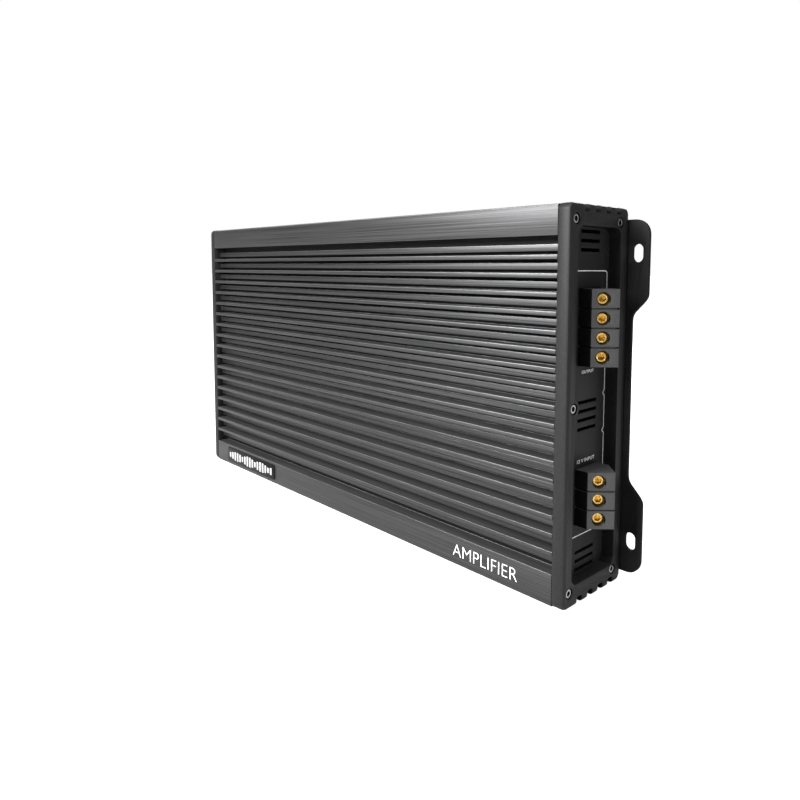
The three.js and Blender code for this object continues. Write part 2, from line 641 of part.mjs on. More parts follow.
function remoteJack() {
  const bush = rodInward(-1, REMOTE.front, FLOOR_BACK + 2, CONTROL_Y, REMOTE_Z, REMOTE.bush, 14);
  const socket = rodInward(-1, REMOTE.front - 1, KNOB.shaftEnd, CONTROL_Y, REMOTE_Z, M3_HOLE, 12);
  const body = controlBody(REMOTE_Z, REMOTE.half, REMOTE.half);
  piece('remote_level_jack', body.add(bush).subtract(socket), NICKEL);
}

function indicator(name, z, color) {
  const lens = rodInward(-1, LED.front, FLOOR_BACK + 4, CONTROL_Y, z, LED.lens, 10);
  const flange = rodInward(-1, FLOOR_BACK + GAP, BOARD_DEPTH - GAP, CONTROL_Y, z, LED.flange, 10);
  piece(name, lens.add(flange), finish(color, 0.2, 0));
}

function controls() {
  RCA_Z.forEach((z, i) => rcaJack(['rca_input_left', 'rca_input_right'][i], z));
  KNOB_Z.forEach((z, i) => levelKnob(KNOB_NAMES[i], z));
  phaseSwitch();
  remoteJack();
  indicator('power_indicator', LED_Z[0], 0x2a62c8);
  indicator('protect_indicator', LED_Z[1], 0xc03028);
}

// ---------------------------------------------------------------- electronics

// A wound ring core standing on the main board, its axis along Y
function ringCore(name, { x, z, outer, inner, height }) {
  const top = FRONT + SHELF_Y - GAP;
  const round = 3;
  const profile = [
    [inner, round], [inner + round, 0], [outer - round, 0], [outer, round],
    [outer, height - round], [outer - round, height], [inner + round, height], [inner, height - round],
    [inner, round],
  ].map(([radius, along]) => new THREE.Vector2(radius, along));
  const geometry = new THREE.LatheGeometry(profile, 20);
  geometry.translate(x, top - height, z);
  piece(name, solid(geometry), FERRITE);
}

function supplyCapacitors() {
  const { x, radius, height } = CAPACITORS;
  const top = FRONT + SHELF_Y - GAP;
  CAPACITORS.z.forEach((z, i) => {
    piece(`supply_capacitor_${i + 1}`, rod([x, top - height, z], [x, top, z], radius, 16), BLACK_PLASTIC);
  });
}

function electronics() {
  const boardFront = FRONT + SHELF_Y;
  const main = block(
    MAIN_BOARD.x0, MAIN_BOARD.x1, boardFront, boardFront + BOARD_THICKNESS, RECESS.z0, RECESS.z1);
  piece('main_circuit_board', main, BOARD_GREEN);
  const { y0, z0, z1 } = CONTROL_BOARD;
  piece('control_circuit_board', blockInward(
    -1, BOARD_DEPTH, BOARD_DEPTH + BOARD_THICKNESS, y0, SHELF_Y - 2, z0, z1), BOARD_GREEN);
  ringCore('power_transformer', TRANSFORMER);
  ringCore('output_inductor', INDUCTOR);
  supplyCapacitors();
  const bar = CLAMP_BAR;
  piece('transistor_clamp_bar', block(
    -bar.halfLength, bar.halfLength, FRONT + bar.y0, FRONT + bar.y1, bar.z0, bar.z1), ANODISED);
}

heatsink();
badge();
terminalCap();
controlCap();
capScrews();
basePlate();
plateScrews();
terminals();
controls();
electronics();

export default amplifier;
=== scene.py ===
"""Looks of the car amplifier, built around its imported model. Metres, +Z up, finned face towards -Y."""
import math

import bpy
from mathutils import Euler, Matrix, Vector


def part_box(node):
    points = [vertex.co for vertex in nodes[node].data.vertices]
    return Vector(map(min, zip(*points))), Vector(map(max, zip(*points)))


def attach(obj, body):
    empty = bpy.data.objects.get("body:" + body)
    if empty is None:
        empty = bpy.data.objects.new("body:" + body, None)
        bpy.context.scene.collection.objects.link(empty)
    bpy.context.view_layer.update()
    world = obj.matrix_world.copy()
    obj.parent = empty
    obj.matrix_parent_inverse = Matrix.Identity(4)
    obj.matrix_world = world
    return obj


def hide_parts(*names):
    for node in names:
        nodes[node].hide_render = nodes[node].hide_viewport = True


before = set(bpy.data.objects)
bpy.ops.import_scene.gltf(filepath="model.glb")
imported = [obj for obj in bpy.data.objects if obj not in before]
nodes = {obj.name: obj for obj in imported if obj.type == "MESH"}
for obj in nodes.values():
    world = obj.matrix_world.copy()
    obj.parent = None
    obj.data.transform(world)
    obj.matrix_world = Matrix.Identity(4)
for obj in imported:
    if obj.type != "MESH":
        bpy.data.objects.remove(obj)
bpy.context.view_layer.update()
MM = 0.001

# ---------------------------------------------------------------- camera
# Stands in front of the terminal end, a little above the middle of the body.
camera_data = bpy.data.cameras.new("camera")
camera_data.sensor_width = 36
camera_data.lens = 29.817
camera_data.shift_x = -0.0438
camera_data.shift_y = -0.1002
camera_data.clip_start = 0.01
camera = bpy.data.objects.new("camera", camera_data)
bpy.context.collection.objects.link(camera)
azimuth, elevation, roll = (math.radians(angle) for angle in (45.7146, 4.4726, 0.2491))
back = Vector((
    math.sin(azimuth) * math.cos(elevation), -math.cos(azimuth) * math.cos(elevation), math.sin(elevation)))
right = Vector((math.cos(azimuth), math.sin(azimuth), 0))
up = back.cross(right)
turned_right = right * math.cos(roll) + up * math.sin(roll)
turned_up = up * math.cos(roll) - right * math.sin(roll)
camera.matrix_world = Matrix.Translation((0.364282, -0.291040, 0.168580)) @ Matrix(
    (turned_right, turned_up, back)).transposed().to_4x4()
bpy.context.scene.camera = camera

# ---------------------------------------------------------------- floor and light
# A plain pale floor that runs on into a white surround, which itself lights the object only
# softly. A broad overhead light does most of the work, with a soft lamp before the finned face
# and a weaker one behind the base plate.
bpy.context.scene.view_settings.view_transform = "Standard"
bpy.ops.mesh.primitive_plane_add(size=30)
floor = bpy.context.object
floor.name = "floor"
floor_paint = bpy.data.materials.new("floor_paint")
floor_paint.use_nodes = True
floor_paint.node_tree.nodes["Principled BSDF"].inputs["Base Color"].default_value = (0.6, 0.6, 0.6, 1)
floor_paint.node_tree.nodes["Principled BSDF"].inputs["Roughness"].default_value = 0.9
floor_paint.node_tree.nodes["Principled BSDF"].inputs["Emission Color"].default_value = (1, 1, 1, 1)
floor.data.materials.append(floor_paint)

world = bpy.data.worlds.new("studio")
world.use_nodes = True
world.node_tree.nodes["Background"].inputs["Color"].default_value = (1, 1, 1, 1)


def seen_or_lighting(tree, seen, lighting, strength):
    """Sets a strength to one value where it is seen directly, and to another where it gives light."""
    ray = tree.nodes.new("ShaderNodeLightPath")
    choice = tree.nodes.new("ShaderNodeMapRange")
    choice.inputs["To Min"].default_value = lighting
    choice.inputs["To Max"].default_value = seen
    tree.links.new(ray.outputs["Is Camera Ray"], choice.inputs["Value"])
    tree.links.new(choice.outputs["Result"], strength)


seen_or_lighting(world.node_tree, seen=1, lighting=0.3,
                 strength=world.node_tree.nodes["Background"].inputs["Strength"])
seen_or_lighting(floor_paint.node_tree, seen=0.8, lighting=0,
                 strength=floor_paint.node_tree.nodes["Principled BSDF"].inputs["Emission Strength"])
bpy.context.scene.world = world


def hung(lamp_data, place, target):
    """Hangs a lamp at a place and aims it at a target."""
    lamp = bpy.data.objects.new(lamp_data.name, lamp_data)
    bpy.context.collection.objects.link(lamp)
    lamp.location = place
    lamp.rotation_euler = (Vector(target) - Vector(place)).to_track_quat("-Z", "Y").to_euler()


overhead = bpy.data.lights.new("overhead_light", "SUN")
overhead.energy = 2.3
overhead.angle = math.radians(70)
hung(overhead, (0.22, -0.3, 1), (0, 0, 0))
front_lamp = bpy.data.lights.new("front_lamp", "AREA")
front_lamp.shape = "RECTANGLE"
front_lamp.size, front_lamp.size_y = 0.5, 0.4
front_lamp.energy = 20
rear_lamp = bpy.data.lights.new("rear_lamp", "AREA")
rear_lamp.size = 0.7
rear_lamp.energy = 9
hung(front_lamp, (0, -0.8, 0.5), (0.12, 0, 0.15))
hung(rear_lamp, (-0.35, 0.9, 0.5), (0, 0, 0.1))

# ---------------------------------------------------------------- heatsink
# One aluminium extrusion, dark anodised and brushed along its length: narrow ribs stand proud of
# wider lands set back between them, between two plain bands. Its section is cut out of a plate,
# the waste is taken away, and the section is drawn out along the body.
HALF_LENGTH = 184.5 * MM
HEIGHT = 200 * MM
RIB_COUNT = 17
RIB_PITCH = 9.17 * MM
FIRST_RIB = 27.5 * MM
HALF_RIB = 1.05 * MM
HALF_LAND = 1.65 * MM
LAND_DEPTH = 4.8 * MM
SLOT_DEPTH = 9 * MM
LOWER_BAND = 17 * MM
UPPER_BAND = 184.5 * MM
WALL_FRONT = 12.6 * MM
WALL_SIDE = 9.1 * MM
RAIL_LINES = (40.6 * MM, 42.3 * MM, 44.5 * MM, 46.2 * MM)
RAIL_HEIGHT = 3.8 * MM
RAIL_THICKNESS = 1.7 * MM
LIP_FRONT = 47.6 * MM
LIP_HEIGHT = 16.5 * MM
GROOVE_CENTRES = [groove * MM for groove in (14.4, 24.05, 33.7, 43.35)]
HALF_GROOVE = 2.35 * MM
GROOVE_DEPTH = 3.5 * MM
TINY = 0.1 * MM
sink_low, sink_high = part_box("heatsink")
front = sink_low.y
ribs = [FIRST_RIB + i * RIB_PITCH for i in range(RIB_COUNT)]
lands = [FIRST_RIB + (i - 0.5) * RIB_PITCH for i in range(RIB_COUNT + 1)]


def near(value, centres, reach):
    return any(abs(value - centre) < reach for centre in centres)


def is_metal(depth, z):
    """Whether the extrusion's section is solid at this depth behind the finned face and this height."""
    edge = min(z, HEIGHT - z)
    if depth < SLOT_DEPTH and LOWER_BAND < z < UPPER_BAND:
        return near(z, ribs, HALF_RIB) or (depth > LAND_DEPTH and near(z, lands, HALF_LAND))
    if near(depth, GROOVE_CENTRES, HALF_GROOVE) and edge < sink_low.z + GROOVE_DEPTH:
        return False
    rail_start, rail_end = RAIL_LINES[0], RAIL_LINES[-1]
    in_rail = rail_start < depth < rail_end and near(depth, (rail_start, rail_end), RAIL_THICKNESS)
    wall = WALL_SIDE + RAIL_HEIGHT if in_rail else WALL_SIDE
    wall = LIP_HEIGHT if depth > LIP_FRONT else wall
    return depth < WALL_FRONT or edge < wall


def alone(piece):
    """Selects this piece only, which is what every tool then works on."""
    bpy.ops.object.select_all(action="DESELECT")
    piece.select_set(True)
    bpy.context.view_layer.objects.active = piece


def cut(piece, along, places):
    """Slices the whole mesh by planes square to an axis, 0 for X, 1 for Y and 2 for Z."""
    normal = [float(axis == along) for axis in range(3)]
    bpy.ops.object.mode_set(mode="EDIT")
    for spot in places:
        bpy.ops.mesh.select_all(action="SELECT")
        bpy.ops.mesh.bisect(plane_co=[n * spot for n in normal], plane_no=normal)
    bpy.ops.object.mode_set(mode="OBJECT")


def pick(piece, wanted, kind="FACE"):
    """Selects the faces, edges or vertices whose middle and direction are wanted, and opens edit mode."""
    bpy.ops.object.mode_set(mode="OBJECT")
    mesh = piece.data
    for elements in (mesh.polygons, mesh.edges, mesh.vertices):
        elements.foreach_set("select", [False] * len(elements))
    if kind == "FACE":
        for face in mesh.polygons:
            face.select = wanted(face.center, face.normal)
    elif kind == "EDGE":
        for edge in mesh.edges:
            start, end = (mesh.vertices[i].co for i in edge.vertices)
            edge.select = wanted((start + end) / 2, (end - start).normalized())
    else:
        for vertex in mesh.vertices:
            vertex.select = wanted(vertex.co, vertex.normal)
    kinds = ("VERTEX", "EDGE", "FACE")
    bpy.context.tool_settings.mesh_select_mode = [kind == each for each in kinds]
    bpy.ops.object.mode_set(mode="EDIT")


def round_edges(piece, width, segments=2, sharp=38):
    """Breaks every sharp edge and shades the rest smooth."""
    bpy.ops.object.mode_set(mode="OBJECT")
    alone(piece)
    if width:
        bevel = piece.modifiers.new("broken_edges", "BEVEL")
        bevel.width = width
        bevel.segments = segments
        bevel.limit_method = "ANGLE"
        bevel.angle_limit = math.radians(sharp)
        bpy.ops.object.modifier_apply(modifier=bevel.name)
    bpy.ops.object.shade_smooth_by_angle(angle=math.radians(32))


bpy.ops.mesh.primitive_plane_add(size=1, rotation=(0, math.radians(90), 0))
sink = bpy.context.object
sink.name = "finned_extrusion"
sink.scale = (HEIGHT - 2 * sink_low.z, sink_high.y - sink_low.y, 1)
sink.location = (sink_low.x, (sink_low.y + sink_high.y) / 2, HEIGHT / 2)
alone(sink)
bpy.ops.object.transform_apply(location=True, rotation=True, scale=True)
depth_lines = [LAND_DEPTH, SLOT_DEPTH, WALL_FRONT, LIP_FRONT, *RAIL_LINES]
depth_lines += [centre + side * HALF_GROOVE for centre in GROOVE_CENTRES for side in (-1, 1)]
height_lines = [rib + side * HALF_RIB for rib in ribs for side in (-1, 1)]
height_lines += [land + side * HALF_LAND for land in lands for side in (-1, 1)]
height_lines += [LOWER_BAND, UPPER_BAND]
for line in (sink_low.z + GROOVE_DEPTH, WALL_SIDE, WALL_SIDE + RAIL_HEIGHT, LIP_HEIGHT):
    height_lines += [line, HEIGHT - line]
cut(sink, 1, [front + line for line in depth_lines])
cut(sink, 2, height_lines)
pick(sink, lambda middle, normal: not is_metal(middle.y - front, middle.z))
bpy.ops.mesh.delete(type="FACE")
bpy.ops.mesh.select_all(action="SELECT")
bpy.ops.mesh.dissolve_limited(angle_limit=math.radians(1))
bpy.ops.mesh.select_all(action="SELECT")
bpy.ops.mesh.extrude_region_move(TRANSFORM_OT_translate={"value": (sink_high.x - sink_low.x, 0, 0)})
bpy.ops.mesh.select_all(action="SELECT")
bpy.ops.mesh.normals_make_consistent(inside=False)
FRONT_EDGE_ROUNDING = 1.2 * MM
GROOVE_ROUNDING = 0.8 * MM
pick(sink, lambda middle, way: abs(way.x) > 0.9 and abs(middle.y - front) < TINY
     and min(middle.z, HEIGHT - middle.z) < FRONT_EDGE_ROUNDING, "EDGE")
bpy.ops.mesh.bevel(offset=FRONT_EDGE_ROUNDING, segments=4)
pick(sink, lambda middle, way: abs(way.x) > 0.9 and middle.y > front + 8 * MM
     and abs(min(middle.z, HEIGHT - middle.z) - sink_low.z - GROOVE_DEPTH) < TINY, "EDGE")
bpy.ops.mesh.bevel(offset=GROOVE_ROUNDING, segments=3)
round_edges(sink, 0.15 * MM)


def finish(name, dark, light, metallic, roughness, stretch, height=0, detail=4, shine=0.5):
    """A material that noise on Object coordinates varies between two shades and two roughnesses.

    stretch is the noise's cycles per metre along X, Y and Z, and height is its relief in metres.
    """
    material = bpy.data.materials.new(name)
    material.use_nodes = True
    tree = material.node_tree
    shader = tree.nodes["Principled BSDF"]
    shader.inputs["Metallic"].default_value = metallic
    shader.inputs["Specular IOR Level"].default_value = shine
    where = tree.nodes.new("ShaderNodeTexCoord")
    mapping = tree.nodes.new("ShaderNodeMapping")
    mapping.inputs["Scale"].default_value = stretch
    noise = tree.nodes.new("ShaderNodeTexNoise")
    noise.inputs["Scale"].default_value = 1
    noise.inputs["Detail"].default_value = detail
    noise.inputs["Roughness"].default_value = 0.65
    ramp = tree.nodes.new("ShaderNodeValToRGB")
    for element, position, shade in zip(ramp.color_ramp.elements, (0.3, 0.7), (dark, light)):
        element.position = position
        element.color = (*shade, 1)
    reach = tree.nodes.new("ShaderNodeMapRange")
    reach.inputs["To Min"].default_value, reach.inputs["To Max"].default_value = roughness
    tree.links.new(where.outputs["Object"], mapping.inputs["Vector"])
    tree.links.new(mapping.outputs["Vector"], noise.inputs["Vector"])
    tree.links.new(noise.outputs["Fac"], ramp.inputs["Fac"])
    tree.links.new(noise.outputs["Fac"], reach.inputs["Value"])
    tree.links.new(ramp.outputs["Color"], shader.inputs["Base Color"])
    tree.links.new(reach.outputs["Result"], shader.inputs["Roughness"])
    if height:
        bump = tree.nodes.new("ShaderNodeBump")
        bump.inputs["Strength"].default_value = 0.5
        bump.inputs["Distance"].default_value = height
        tree.links.new(noise.outputs["Fac"], bump.inputs["Height"])
        tree.links.new(bump.outputs["Normal"], shader.inputs["Normal"])
    return material


def grey(value):
    return (value, value, value * 1.02)


def finish_faces(piece, material, wanted):
    """Gives the faces whose middle and direction are wanted another material."""
    piece.data.materials.append(material)
    for face in piece.data.polygons:
        if wanted(face.center, face.normal):
            face.material_index = len(piece.data.materials) - 1


brushed = finish("brushed_anodised", grey(0.018), grey(0.088), 0.75, (0.34, 0.52), (6, 1600, 1600),
                 0.05 * MM, detail=6)
# Painted shade: a near-black copy of the anodised finish for the slots, and a lighter copy for their walls
# that face up, as if lit from above.
slot_shade = finish("slot_painted_shade", grey(0.004), grey(0.009), 0.2, (0.5, 0.65), (60, 900, 900),
                    shine=0.15)
# A painted highlight for the top edges.
edge_highlight = finish("painted_edge_highlight", grey(0.12), grey(0.3), 0.7, (0.35, 0.5), (30, 900, 900))
slot_lit = finish("slot_painted_light", grey(0.03), grey(0.055), 0.3, (0.45, 0.6), (20, 900, 900),
                   shine=0.3)


def place(piece, material, slot, body="chassis", replaced=()):
    """Gives a finished piece its material and the body it rides on; its slot is not used."""
    piece.data.materials.clear()
    piece.data.materials.append(material)
    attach(piece, body)
    if replaced:
        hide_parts(*replaced)


place(sink, brushed, "anodised_aluminium", replaced=["heatsink"])


LEANING = 0.3
SQUARE = 0.93
RIB_EDGE = 0.3 * MM
LAND_EDGE = LAND_DEPTH + 0.5 * MM
BAND_EDGE = 1 * MM


def in_slot(middle, normal):
    """Whether a face is a side or a floor of the ribbed field, and not the front of a rib or a land."""
    depth = middle.y - front
    return (depth > RIB_EDGE and (normal.y > -LEANING or depth > LAND_EDGE)
            and LOWER_BAND - BAND_EDGE < middle.z < UPPER_BAND + BAND_EDGE)


# Painted shade: the slots' floors and their walls that face down are near black, and their walls that face
# up are lighter as if lit from above.
finish_faces(sink, slot_shade, lambda middle, normal: in_slot(middle, normal) and normal.z < 0.7)
finish_faces(sink, slot_lit, lambda middle, normal: in_slot(middle, normal) and normal.z > 0.7)
# Painted highlight: the bevels that face forward and up, along the top edges of the ribs, lands and bands,
# are lighter.
finish_faces(sink, edge_highlight, lambda middle, normal: -SQUARE < normal.y < -LEANING
             and LEANING < normal.z < 0.95)

# ---------------------------------------------------------------- end caps
# Two die-cast trays in dark grey satin paint close the ends. Each has a long recess with a ledge
# towards the finned face, notches that carry the long grooves on, and five sunk screw seats.
CAP_EDGE = 0.25 * MM


def from_frame(name, node, rounding, segments=2):
    """A piece whose shape is its CAD node's, cleaned up and with its sharp edges broken."""
    piece = bpy.data.objects.new(name, nodes[node].data.copy())
    bpy.context.collection.objects.link(piece)
    alone(piece)
    bpy.ops.object.mode_set(mode="EDIT")
    bpy.ops.mesh.select_all(action="SELECT")
    bpy.ops.mesh.remove_doubles(threshold=0.002 * MM)
    bpy.ops.mesh.dissolve_limited(angle_limit=math.radians(1))
    round_edges(piece, rounding, segments)
    return piece


satin = finish("cap_satin_paint", grey(0.011), grey(0.018), 0.1, (0.42, 0.55), (900, 900, 900),
               0.02 * MM, detail=3, shine=0.22)
# Near-black painted shade for the notches and the walls of the recess.
cap_shade = finish("cap_painted_shade", grey(0.002), grey(0.006), 0, (0.5, 0.65), (900, 900, 900), shine=0.1)
# A painted highlight for the rear rim of the recess.
rim_highlight = finish("cap_painted_rim_highlight", grey(0.06), grey(0.14), 0.1, (0.4, 0.55), (300, 300, 300))


RIM = 7 * MM
RIM_FACE = 1 * MM
RECESS_END = 50 * MM
HIGHLIGHT_START = 38 * MM


def in_notch(middle, normal):
    """Whether a face is a side or the floor of a notch."""
    edge = min(middle.z, HEIGHT - middle.z)
    return (near(middle.y - front, GROOVE_CENTRES, HALF_GROOVE + TINY)
            and edge < GROOVE_DEPTH + 0.5 * MM and abs(normal.x) < 0.7)


def shaded(middle, normal):
    """Whether a face is a wall of the recess that looks forward or down."""
    return (abs(normal.x) < 0.2 and min(normal.y, normal.z) < -LEANING and RIM < middle.z < HEIGHT - RIM
            and RIM_FACE < HALF_LENGTH - abs(middle.x) and RIM < middle.y - front < RECESS_END)


for end in ("terminal", "control"):
    cap = from_frame(f"{end}_cap_casting", f"{end}_end_cap", CAP_EDGE)
    place(cap, satin, "cap_finish", replaced=[f"{end}_end_cap"])
    # Painted shade: the notches' sides and floors and the recess walls that look forward or down are near
    # black.
    finish_faces(cap, cap_shade, lambda middle, normal: in_notch(middle, normal) or shaded(middle, normal))
    # Painted highlight: the bevels at the recess's rear wall that face forward and outward are lighter.
    finish_faces(cap, rim_highlight, lambda middle, normal: LEANING < abs(normal.x) < SQUARE
                 and normal.y < -LEANING and middle.y > front + HIGHLIGHT_START
                 and RIM < middle.z < HEIGHT - RIM)

# ---------------------------------------------------------------- base plate
# Pressed from black powder-coated steel, with four ears slotted for the mounting screws.
powder = finish("black_powder_coat", grey(0.001), grey(0.009), 0, (0.5, 0.7), (1700, 1700, 1700),
                0.16 * MM, detail=3, shine=0.12)
plate = from_frame("base_plate_pressing", "base_plate", 0.25 * MM)
place(plate, powder, "black_steel", replaced=["base_plate"])

# ---------------------------------------------------------------- cap and plate screws
# Nickel-plated M3 socket screws hold the caps, and small black countersunk ones hold the plate.
# One of each is turned and given its hexagonal socket, and then copied to every seat.
CAP_SCREW_X = HALF_LENGTH - 0.4 * MM
CAP_SOCKET = 1.45 * MM
DEEPEST_SOCKET = 2.5 * MM


def socket_screw(name, radius, head, socket, socket_depth, edge, shank=0, length=0, under=0):
    """A screw lying along X with its face at the origin and a hexagonal socket cut into it.

    shank and length are its thread's, and under is the radius that the foot of its head narrows to.
    """
    bpy.ops.mesh.primitive_cylinder_add(
        vertices=36, radius=radius, depth=head, location=(-head / 2, 0, 0),
        rotation=(0, math.radians(90), 0))
    screw = bpy.context.object
    screw.name = name
    alone(screw)
    bpy.ops.object.transform_apply(location=True, rotation=True, scale=True)
    pick(screw, lambda middle, normal: normal.x < -0.9 and abs(middle.x + head) < TINY)
    if under:
        bpy.ops.transform.resize(value=(1, under / radius, under / radius), center_override=(-head, 0, 0))
    if shank:
        bpy.ops.mesh.inset(thickness=(under or radius) - shank)
        bpy.ops.mesh.extrude_region_move(TRANSFORM_OT_translate={"value": (-length, 0, 0)})
    bpy.ops.object.mode_set(mode="OBJECT")
    bpy.ops.mesh.primitive_cylinder_add(
        vertices=6, radius=socket, depth=2 * socket_depth, rotation=(0, math.radians(90), 0))
    key = bpy.context.object
    recess = screw.modifiers.new("recess", "BOOLEAN")
    recess.operation = "DIFFERENCE"
    recess.object = key
    alone(screw)
    bpy.ops.object.modifier_apply(modifier=recess.name)
    bpy.data.objects.remove(key)
    round_edges(screw, edge)
    return screw


def copied(model, name, position, turn=(0, 0, 0)):
    """A copy of a finished piece with its own mesh, turned and then set in place."""
    piece = bpy.data.objects.new(name, model.data.copy())
    bpy.context.collection.objects.link(piece)
    piece.data.transform(Matrix.Translation(position) @ Euler(turn).to_matrix().to_4x4())
    return piece


def middle_of(node):
    low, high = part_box(node)
    return (low + high) / 2


def paint_socket_shade(screw, material, face, outwards, socket):
    """Paints the walls and floor of a placed screw's socket in shade, with another material."""
    def inside(middle, normal):
        depth = (face - middle).dot(outwards)
        return TINY < depth < DEEPEST_SOCKET and (middle - face + outwards * depth).length < socket
    finish_faces(screw, material, inside)


nickel = finish("bright_nickel", grey(0.3), grey(0.6), 1, (0.14, 0.32), (600, 2500, 2500))
# Near-black painted shade for the cap screws' sockets.
socket_shade = finish("screw_socket_painted_shade", grey(0.003), grey(0.01), 0.3, (0.4, 0.6), (900, 900, 900), shine=0.2)
cap_screw = socket_screw("cap_screw", radius=2.15 * MM, head=3 * MM, socket=CAP_SOCKET,
                         socket_depth=1.8 * MM, edge=0.12 * MM, shank=1.45 * MM, length=10 * MM)
for end, side in (("terminal", 1), ("control", -1)):
    for number in range(1, 6):
        node = f"{end}_cap_screw_{number}"
        seat = middle_of(node)
        turn = (0.4 * number, 0, 0 if side > 0 else math.pi)
        face = Vector((side * CAP_SCREW_X, seat.y, seat.z))
        screw = copied(cap_screw, f"{end}_cap_fastener_{number}", face, turn)
        place(screw, nickel, "nickel_steel", replaced=[node])
        # The socket's walls and floor are painted in shade.
        paint_socket_shade(screw, socket_shade, face, Vector((side, 0, 0)), CAP_SOCKET)
bpy.data.objects.remove(cap_screw)

blackened = finish("blackened_steel", grey(0.012), grey(0.04), 0.6, (0.3, 0.55), (1800, 1800, 1800))
plate_screw = socket_screw("plate_screw", radius=2.7 * MM, head=1.5 * MM, socket=1 * MM,
                           socket_depth=0.9 * MM, edge=0.1 * MM, shank=1.25 * MM, length=7.4 * MM,
                           under=1.4 * MM)
for number in range(1, 7):
    node = f"base_plate_screw_{number}"
    seat = middle_of(node)
    back_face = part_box(node)[1].y
    screw = copied(plate_screw, f"base_plate_fastener_{number}", (seat.x, back_face, seat.z),
                   (0.5 * number, 0, math.pi / 2))
    place(screw, blackened, "black_steel", replaced=[node])
bpy.data.objects.remove(plate_screw)

# ---------------------------------------------------------------- terminal blocks
# Two dark mouldings with a slanted face towards the front for the clamp screws, one cell of the
# row beside the next, and square wire entries on the far side.
moulded = finish("terminal_moulding", grey(0.026), grey(0.05), 0, (0.42, 0.6), (2600, 2600, 2600),
                 0.05 * MM, detail=2)
# A painted highlight for the mouldings' upper edges.
moulding_highlight = finish("terminal_moulding_painted_highlight", grey(0.07), grey(0.13), 0, (0.4, 0.5), (900, 900, 900))
# Near-black painted shade for the sides of the mouldings.
moulding_shade = finish("terminal_moulding_painted_shade", grey(0.0015), grey(0.004), 0, (0.5, 0.6),
                      (900, 900, 900), shine=0.06)
for row in ("speaker", "power"):
    block = from_frame(f"{row}_terminal_moulding", f"{row}_terminal_block", 0.28 * MM)
    place(block, moulded, "terminal_plastic", replaced=[f"{row}_terminal_block"])
    # Painted shade: the faces that look neither outward nor up or down are near black.
    finish_faces(block, moulding_shade, lambda middle, normal: normal.x < LEANING and abs(normal.z) < 0.5)
    # Painted highlight: the bevels that face outward and up are lighter.
    finish_faces(block, moulding_highlight, lambda middle, normal: normal.x > LEANING
                 and LEANING < normal.z < SQUARE)

# ---------------------------------------------------------------- terminal screws and contacts
# Gold-plated set screws press the wire against a brass clamp in each cell. Each screw faces the
# front corner at 45 degrees, ends inside where the frame's screw ends, and rides on its own body.
gilt = finish("gold_plate", (0.72, 0.32, 0.025), (1, 0.86, 0.34), 0.6, (0.12, 0.34), (800, 800, 800),
              0.05 * MM)
aged_brass = finish("aged_brass", (0.02, 0.011, 0.003), (0.16, 0.09, 0.02), 0.8, (0.3, 0.5),
                    (900, 900, 900))
# A darker copy of the gold plate, painted shade for the set screws' sockets.
gilt_socket_shade = finish("gold_socket_painted_shade", (0.1, 0.03, 0.003), (0.95, 0.48, 0.06), 0.9, (0.15, 0.4),
                     (900, 900, 900))


def coat(node, material):
    """Gives a node of the frame, whose shape stays, a better finish."""
    nodes[node].data.materials.clear()
    nodes[node].data.materials.append(material)


SET_SCREW_LENGTH = 5.4 * MM
SET_SOCKET = 1.85 * MM
SET_SCREW_IN_FRAME = 6 * MM
set_screw = socket_screw("set_screw", radius=2.6 * MM, head=SET_SCREW_LENGTH, socket=SET_SOCKET,
                         socket_depth=1.6 * MM, edge=0.15 * MM)
outwards = Vector((1, -1, 0)).normalized()
for number in range(1, 8):
    node = f"terminal_screw_{number}"
    face = middle_of(node) + outwards * (SET_SCREW_LENGTH - SET_SCREW_IN_FRAME / 2)
    screw = copied(set_screw, f"terminal_clamp_screw_{number}", face, (0.7 * number, 0, -math.pi / 4))
    place(screw, gilt, "gilt_brass", node, [node])
    # The socket's walls and floor are painted in shade.
    paint_socket_shade(screw, gilt_socket_shade, face, outwards, SET_SOCKET)
    coat(f"terminal_contact_{number}", aged_brass)
bpy.data.objects.remove(set_screw)

# ---------------------------------------------------------------- signal inputs
# Two phono sockets in the control end, for the left and right signal. Each is turned from brass
# and gold plated, with a moulded insulator inside it, white or red, and a contact tube in that.
CONTROL_Y = front + 28 * MM
FACE_ABOUT = (0, 0, math.pi)


def turned(name, profile, edge, vertices=48, ring=False):
    """A piece turned about the X axis through points given by place along X and radius, in mm.

    It is closed by a disc at either end, or as a ring whose last point meets its first.
    """
    profile = [(x * MM, radius * MM) for x, radius in profile]
    if ring:
        profile.append(profile[0])
    x, radius = profile[0]
    bpy.ops.mesh.primitive_circle_add(
        vertices=vertices, radius=radius, fill_type="NOTHING" if ring else "NGON",
        location=(x, 0, 0), rotation=(0, math.radians(90), 0))
    piece = bpy.context.object
    piece.name = name
    alone(piece)
    bpy.ops.object.transform_apply(location=True, rotation=True, scale=True)
    bpy.context.tool_settings.mesh_select_mode = (True, False, False)
    bpy.ops.object.mode_set(mode="EDIT")
    bpy.ops.mesh.select_all(action="SELECT")
    for next_x, next_radius in profile[1:]:
        bpy.ops.mesh.extrude_region_move(TRANSFORM_OT_translate={"value": (next_x - x, 0, 0)})
        share = next_radius / radius
        bpy.ops.transform.resize(value=(1, share, share), center_override=(next_x, 0, 0))
        x, radius = next_x, next_radius
    bpy.ops.mesh.select_all(action="SELECT")
    bpy.ops.mesh.remove_doubles(threshold=0.002 * MM)
    bpy.ops.mesh.normals_make_consistent(inside=False)
    round_edges(piece, edge * MM)
    return piece


def moulding(name, colour, shine=0.5):
    """A fine-grained moulded plastic about one colour."""
    dark = [share * 0.8 for share in colour]
    return finish(name, dark, colour, 0, (0.35, 0.5), (1800, 1800, 1800), 0.02 * MM, shine=shine)


